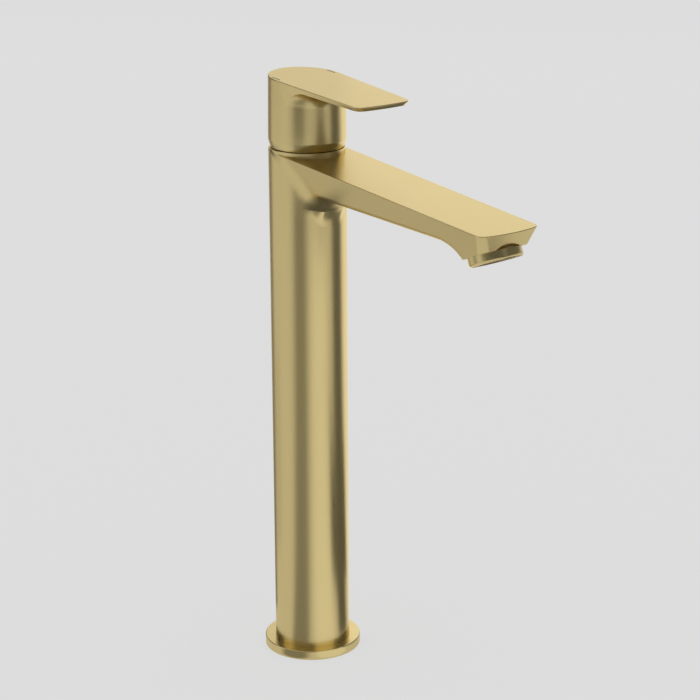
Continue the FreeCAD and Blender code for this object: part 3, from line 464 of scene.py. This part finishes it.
@dataclass(frozen=True)
class Softbox:
    """A large soft lamp, placed by its direction as seen from the object."""

    name: str
    azimuth: float
    elevation: float
    distance: float
    width: float
    height: float
    power: float

    def build(self, target: Vector) -> None:
        """Hang the lamp and aim it.

        Args:
            target: The point that the lamp faces.
        """
        lamp = bpy.data.lights.new(self.name, "AREA")
        lamp.shape = "RECTANGLE"
        lamp.size = self.width
        lamp.size_y = self.height
        lamp.energy = self.power
        away = direction(self.azimuth, self.elevation)
        holder = bpy.data.objects.new(self.name, lamp)
        holder.location = target + away * self.distance
        holder.rotation_euler = away.to_track_quat("Z", "Y").to_euler()
        bpy.context.scene.collection.objects.link(holder)


@dataclass(frozen=True)
class Card:
    """A dark or white card that only reflections see, as a photographer uses on bright metal.

    Attributes:
        name: Name of the card.
        azimuth: Direction of the card's middle as seen from the column's axis.
        spread: Angle between its sides as seen from that axis.
        shade: Brightness.
        lower: Distance from the axis and height of its lower edge.
        upper: Distance from the axis and height of its upper edge.
        feather: Share of its half width that fades out towards each side.
    """

    name: str
    azimuth: float
    spread: float
    shade: float
    lower: tuple[float, float] = (0.028, 0.0)
    upper: tuple[float, float] = (0.16, 0.40)
    feather: float = 0.0

    @property
    def widening(self) -> float:
        """Half width of the card at a distance of 1.

        Returns:
            The half width.
        """
        return math.tan(math.radians(self.spread / 2))

    def build(self) -> None:
        """Set the card up, and hide it from all but glossy rays."""
        paint = bpy.data.materials.new(self.name)
        paint.use_nodes = True
        sheet = NodeSheet(paint.node_tree)
        out = sheet.add("ShaderNodeOutputMaterial")
        glow = sheet.add("ShaderNodeEmission", {"Color": WHITE, "Strength": self.shade})
        surface = self.faded(sheet, glow) if self.feather else glow
        sheet.join(surface.outputs[0], out.inputs["Surface"])
        card = flat_piece(self.name, self.corners(), paint)
        card.visible_camera = False
        card.visible_diffuse = False
        card.visible_transmission = False
        card.visible_shadow = False

    def corners(self) -> list[Vector]:
        """Find the card's corners.

        Returns:
            The corners, round the card from its lower edge.
        """
        away = direction(self.azimuth)
        side = sideways(self.azimuth)
        found = []
        for (distance, height), hands in ((self.lower, (-1, 1)), (self.upper, (1, -1))):
            for hand in hands:
                across = side * (distance * self.widening * hand)
                found.append(away * distance + across + Vector((0.0, 0.0, height)))
        return found

    def faded(self, sheet: NodeSheet, glow: bpy.types.Node) -> bpy.types.Node:
        """Let the card's sides fade out, so that its reflection has soft edges.

        Args:
            sheet: The card's node tree.
            glow: The card's own shader.

        Returns:
            The shader that mixes the card with clear air.
        """
        place = sheet.add("ShaderNodeTexCoord")
        slope = sheet.add("ShaderNodeMath", operation="DIVIDE")
        for number, axis in enumerate((sideways(self.azimuth), direction(self.azimuth))):
            along = sheet.add("ShaderNodeVectorMath", {1: axis}, operation="DOT_PRODUCT")
            sheet.join(place.outputs["Object"], along.inputs[0])
            sheet.join(along.outputs["Value"], slope.inputs[number])
        size = sheet.add("ShaderNodeMath", operation="ABSOLUTE")
        sheet.join(slope.outputs[0], size.inputs[0])
        fade = sheet.add("ShaderNodeMapRange", {
            "From Min": self.widening * (1.0 - self.feather), "From Max": self.widening,
            "To Min": 1.0, "To Max": 0.0}, interpolation_type="SMOOTHSTEP")
        sheet.join(size.outputs[0], fade.inputs["Value"])
        return sheet.blend(fade.outputs[0], sheet.add("ShaderNodeBsdfTransparent"), glow)


def wall(name: str, azimuth: float, spread: float, shade: float, bottom: float,
         top: float = WALL_TOP) -> Card:
    """Make an upright card that stands far from the object.

    Args:
        name: Name of the card.
        azimuth: Direction of the card's middle.
        spread: Angle between its sides.
        shade: Brightness.
        bottom: Height of its lower edge.
        top: Height of its upper edge.

    Returns:
        The card.
    """
    return Card(name, azimuth, spread, shade, (WALL_DISTANCE, bottom), (WALL_DISTANCE, top))


# Cards beside the column and the handle, which make the bands in their reflections.
NEAR_CARDS = (
    Card("front_flag", -62.0, 52.0, 0.27, upper=(0.13, 0.249), feather=0.6),
    Card("skirt_flag", -60.0, 44.0, 0.22, (0.13, 0.268), (0.17, 0.345), 0.6),
    Card("right_flag", 47.0, 45.0, 0.12, (0.036, 0.0), feather=0.5),
    Card("left_flag", -172.0, 22.0, 0.20, (0.06, 0.0)),
    Card("front_card", -9.0, 54.0, 0.88, upper=(0.12, 0.22), feather=0.4),
    Card("rim_card", 104.0, 60.0, 1.10),
)
# A small dark card under the spout's root that paints shade into its rounding by reflection, and
# two that lie on the floor.
SMALL_CARDS = (
    # Painted shade: a dark sheet in the crease under the spout's root, seen only in the
    # reflections of the rounding there.
    Card("root_painted_shade", -20.0, 76.0, 0.10, (0.020, 0.2590), (0.033, 0.2549), 0.8),
    Card("side_flag", -160.0, 46.0, 0.60, (0.15, 0.002), (0.60, 0.003)),
    Card("floor_flag", 62.0, 84.0, 0.06, (0.10, 0.002), (0.33, 0.003)),
)
# Walls darken the roundings, the seat and the aerator, and the low ones work on the handle alone.
WALLS = (
    wall("camera_wall", -39.0, 120.0, 0.12, bottom=0.22),
    wall("camera_skirting", 2.0, 28.0, 0.27, bottom=0.0, top=0.22),
    wall("left_wall", -169.0, 62.0, 0.0, bottom=0.42),
    wall("left_skirting", -140.0, 64.0, 0.60, bottom=0.0, top=0.42),
    wall("right_wall", 60.0, 80.0, 0.14, bottom=0.30),
)


@dataclass
class Studio:
    """Floor, world, lamps, cards and camera."""

    azimuth: float = -38.918
    pitch: float = 17.287
    lens: float = 107.246
    shift: float = -0.048
    far_clip: float = 100.0
    eye: tuple[float, float, float] = (-0.65804, -0.87987, 0.51639)
    target: tuple[float, float, float] = (0.0, -0.03, 0.18)
    floor_size: float = 40.0
    backdrop: float = 0.738
    floor_glow: float = 0.85
    ambient: float = 0.85
    softboxes: tuple[Softbox, ...] = (
        Softbox("left_softbox", azimuth=-124.0, elevation=25.0, distance=1.9,
                width=1.6, height=2.2, power=1.2),
        Softbox("front_softbox", azimuth=-4.0, elevation=35.0, distance=1.9,
                width=0.9, height=1.6, power=0.6),
        Softbox("back_softbox", azimuth=129.0, elevation=24.0, distance=2.2,
                width=3.2, height=1.7, power=2.8),
    )
    cards: tuple[Card, ...] = NEAR_CARDS + SMALL_CARDS + WALLS

    def build(self) -> None:
        """Set the whole stage."""
        self.set_world()
        self.lay_floor()
        for lamp in self.softboxes:
            lamp.build(Vector(self.target))
        for card in self.cards:
            card.build()
        self.set_camera()
        bpy.context.scene.view_settings.view_transform = "Standard"

    def seen_ray(self, sheet: NodeSheet) -> bpy.types.NodeSocket:
        """Add nodes that say whether a ray looks at a surface instead of lighting it.

        Args:
            sheet: The node tree to add to.

        Returns:
            A socket that is 1 for camera, glossy and transmission rays.
        """
        path = sheet.add("ShaderNodeLightPath")
        first = sheet.add("ShaderNodeMath", operation="MAXIMUM")
        both = sheet.add("ShaderNodeMath", operation="MAXIMUM")
        sheet.join(path.outputs["Is Camera Ray"], first.inputs[0])
        sheet.join(path.outputs["Is Glossy Ray"], first.inputs[1])
        sheet.join(first.outputs[0], both.inputs[0])
        sheet.join(path.outputs["Is Transmission Ray"], both.inputs[1])
        return both.outputs[0]

    def set_world(self) -> None:
        """Give the world an even light, with the backdrop's grey for rays that look at it."""
        world = bpy.data.worlds.new("studio")
        bpy.context.scene.world = world
        world.use_nodes = True
        sheet = NodeSheet(world.node_tree)
        out = sheet.add("ShaderNodeOutputWorld")
        even = sheet.add("ShaderNodeBackground", {"Color": WHITE, "Strength": self.ambient})
        seen = sheet.add("ShaderNodeBackground", {"Color": WHITE, "Strength": self.backdrop})
        mix = sheet.blend(self.seen_ray(sheet), even, seen)
        sheet.join(mix.outputs[0], out.inputs["Surface"])

    def lay_floor(self) -> None:
        """Lay a pale floor that keeps a soft shadow."""
        paint = bpy.data.materials.new("pale_floor")
        paint.use_nodes = True
        sheet = NodeSheet(paint.node_tree)
        grey = (self.backdrop, self.backdrop, self.backdrop, 1.0)
        out = sheet.add("ShaderNodeOutputMaterial")
        matte = sheet.add("ShaderNodeBsdfDiffuse", {"Color": grey})
        glow = sheet.add("ShaderNodeEmission", {"Color": grey, "Strength": 1.0})
        share = sheet.add("ShaderNodeMath", {1: self.floor_glow}, operation="MULTIPLY")
        sheet.join(self.seen_ray(sheet), share.inputs[0])
        mix = sheet.blend(share.outputs[0], matte, glow)
        sheet.join(mix.outputs[0], out.inputs["Surface"])
        half = self.floor_size / 2
        corners = [(-half, -half, 0.0), (half, -half, 0.0), (half, half, 0.0), (-half, half, 0.0)]
        floor = flat_piece("floor", corners, paint)

    def set_camera(self) -> None:
        """Put the camera where the photograph was taken from."""
        right = sideways(self.azimuth)
        back = direction(self.azimuth, self.pitch)
        up = back.cross(right)
        view = Matrix((right, up, back)).transposed().to_4x4()
        lens = bpy.data.cameras.new("camera")
        lens.lens = self.lens
        lens.shift_x = self.shift
        lens.clip_end = self.far_clip
        holder = bpy.data.objects.new("camera", lens)
        holder.matrix_world = Matrix.Translation(self.eye) @ view
        bpy.context.scene.collection.objects.link(holder)
        bpy.context.scene.camera = holder


def main() -> None:
    """Dress every sub-assembly and set the stage."""
    logging.basicConfig(level=logging.INFO, format="%(message)s")
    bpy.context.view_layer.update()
    for assembly in (Foot(), Casting(), Cartridge(), LeverHandle(), Outlet()):
        assembly.build()
        LOG.info("%s done", type(assembly).__name__)
    Studio().build()


if __name__ == "__main__":
    main()
